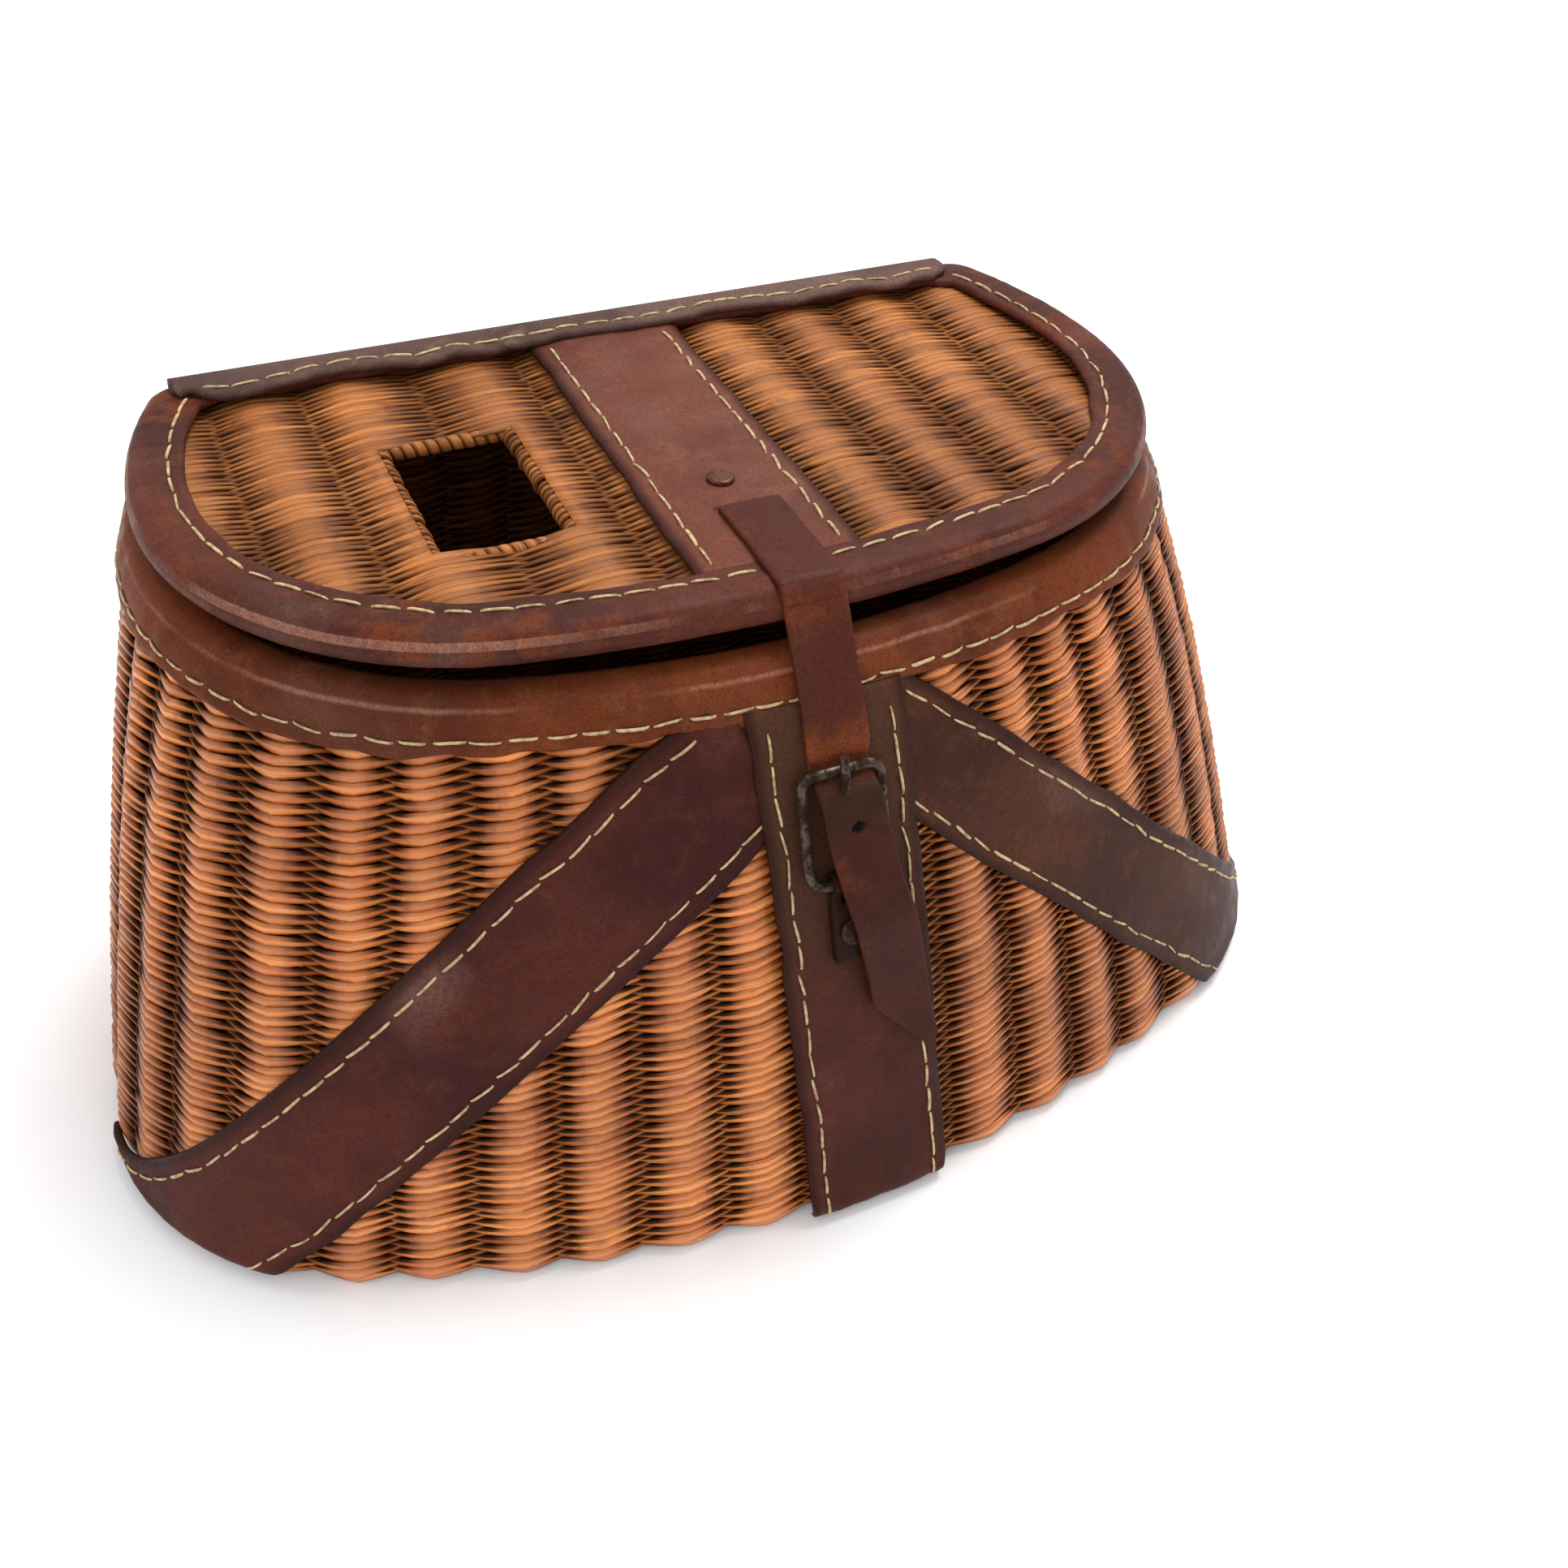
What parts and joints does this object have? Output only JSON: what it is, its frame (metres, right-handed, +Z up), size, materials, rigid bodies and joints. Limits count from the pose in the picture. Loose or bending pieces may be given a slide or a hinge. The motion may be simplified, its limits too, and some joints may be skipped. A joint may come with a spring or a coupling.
{
  "type": "wicker fishing creel",
  "caption": "D-shaped woven willow fishing creel with leather-bound rim, hinged lid with a fish hole, strap and buckle, leather bands and harness rings.",
  "frame": {"origin": "on the floor, under the middle of the basket's base", "axes": "+Z up, -Y towards the curved front with the buckle, +X to the creel's right as seen from the front, along its width"},
  "size_m": [0.3529, 0.2075, 0.1695],
  "materials": {
    "basket_wicker": "varnished woven willow, satin",
    "lid_wicker": "varnished woven willow, satin",
    "willow_rod": "peeled willow rod",
    "rim_leather": "waxed saddle leather, worn",
    "lid_edge_leather": "waxed saddle leather, worn on the edge",
    "band_leather": "waxed saddle leather",
    "strap_leather": "waxed strap leather, worn at the bends",
    "hinge_leather": "dry grey-brown leather",
    "buckle_wire": "tarnished steel wire",
    "ring_wire": "tarnished steel wire",
    "rivet_brass": "dull brass"
  },
  "bodies": {
    "basket": {"basket_wall": "basket_wicker", "basket_bottom": "basket_wicker", "rim_rod": "willow_rod", "rim_binding": "rim_leather", "front_band": "band_leather", "diagonal_band_left": "band_leather", "diagonal_band_right": "band_leather", "buckle_chape": "strap_leather", "basket_rivets": "rivet_brass", "basket_rivet_washers": "rivet_brass", "harness_tab_left": "strap_leather", "harness_tab_right": "strap_leather", "hinge_strip": "hinge_leather"},
    "lid": {"lid_panel": "lid_wicker", "fish_hole_bars": "lid_wicker", "lid_frame_rod": "willow_rod", "lid_binding": "lid_edge_leather", "lid_band": "band_leather", "strap_anchor": "strap_leather", "strap_rivet": "rivet_brass", "strap_rivet_washer": "rivet_brass"},
    "strap": {"strap": "strap_leather"},
    "buckle": {"buckle_frame": "buckle_wire"},
    "prong": {"buckle_prong": "buckle_wire"},
    "ring_left": {"harness_ring_left": "ring_wire"},
    "ring_right": {"harness_ring_right": "ring_wire"}
  },
  "joints": [
    {"name": "lid_hinge", "type": "hinge", "parent": "basket", "child": "lid", "pos_m": [0, 0.102, 0.154], "axis": [-1, 0, 0], "range_deg": [0, 105], "deforming": ["hinge_strip"]},
    {"name": "strap_hang", "type": "hinge", "parent": "lid", "child": "strap", "pos_m": [0, -0.04216, 0.16267], "axis": [1, 0, 0], "range_deg": [0, 95], "deforming": ["strap"]},
    {"name": "buckle_swing", "type": "hinge", "parent": "basket", "child": "buckle", "pos_m": [0.0012, -0.07652, 0.10166], "axis": [1, 0, 0], "range_deg": [0, 90]},
    {"name": "prong_swing", "type": "hinge", "parent": "buckle", "child": "prong", "pos_m": [0.0012, -0.07652, 0.10166], "axis": [1, 0, 0], "range_deg": [0, 60]},
    {"name": "ring_swing_left", "type": "hinge", "parent": "basket", "child": "ring_left", "pos_m": [-0.082, 0.1033, 0.092], "axis": [1, 0, 0], "range_deg": [-6, 158]},
    {"name": "ring_swing_right", "type": "hinge", "parent": "basket", "child": "ring_right", "pos_m": [0.082, 0.1033, 0.092], "axis": [1, 0, 0], "range_deg": [-6, 158]}
  ],
  "couplings": [
    {"joint": "strap_hang", "follows": "lid_hinge", "ratio": 0.9}
  ]
}
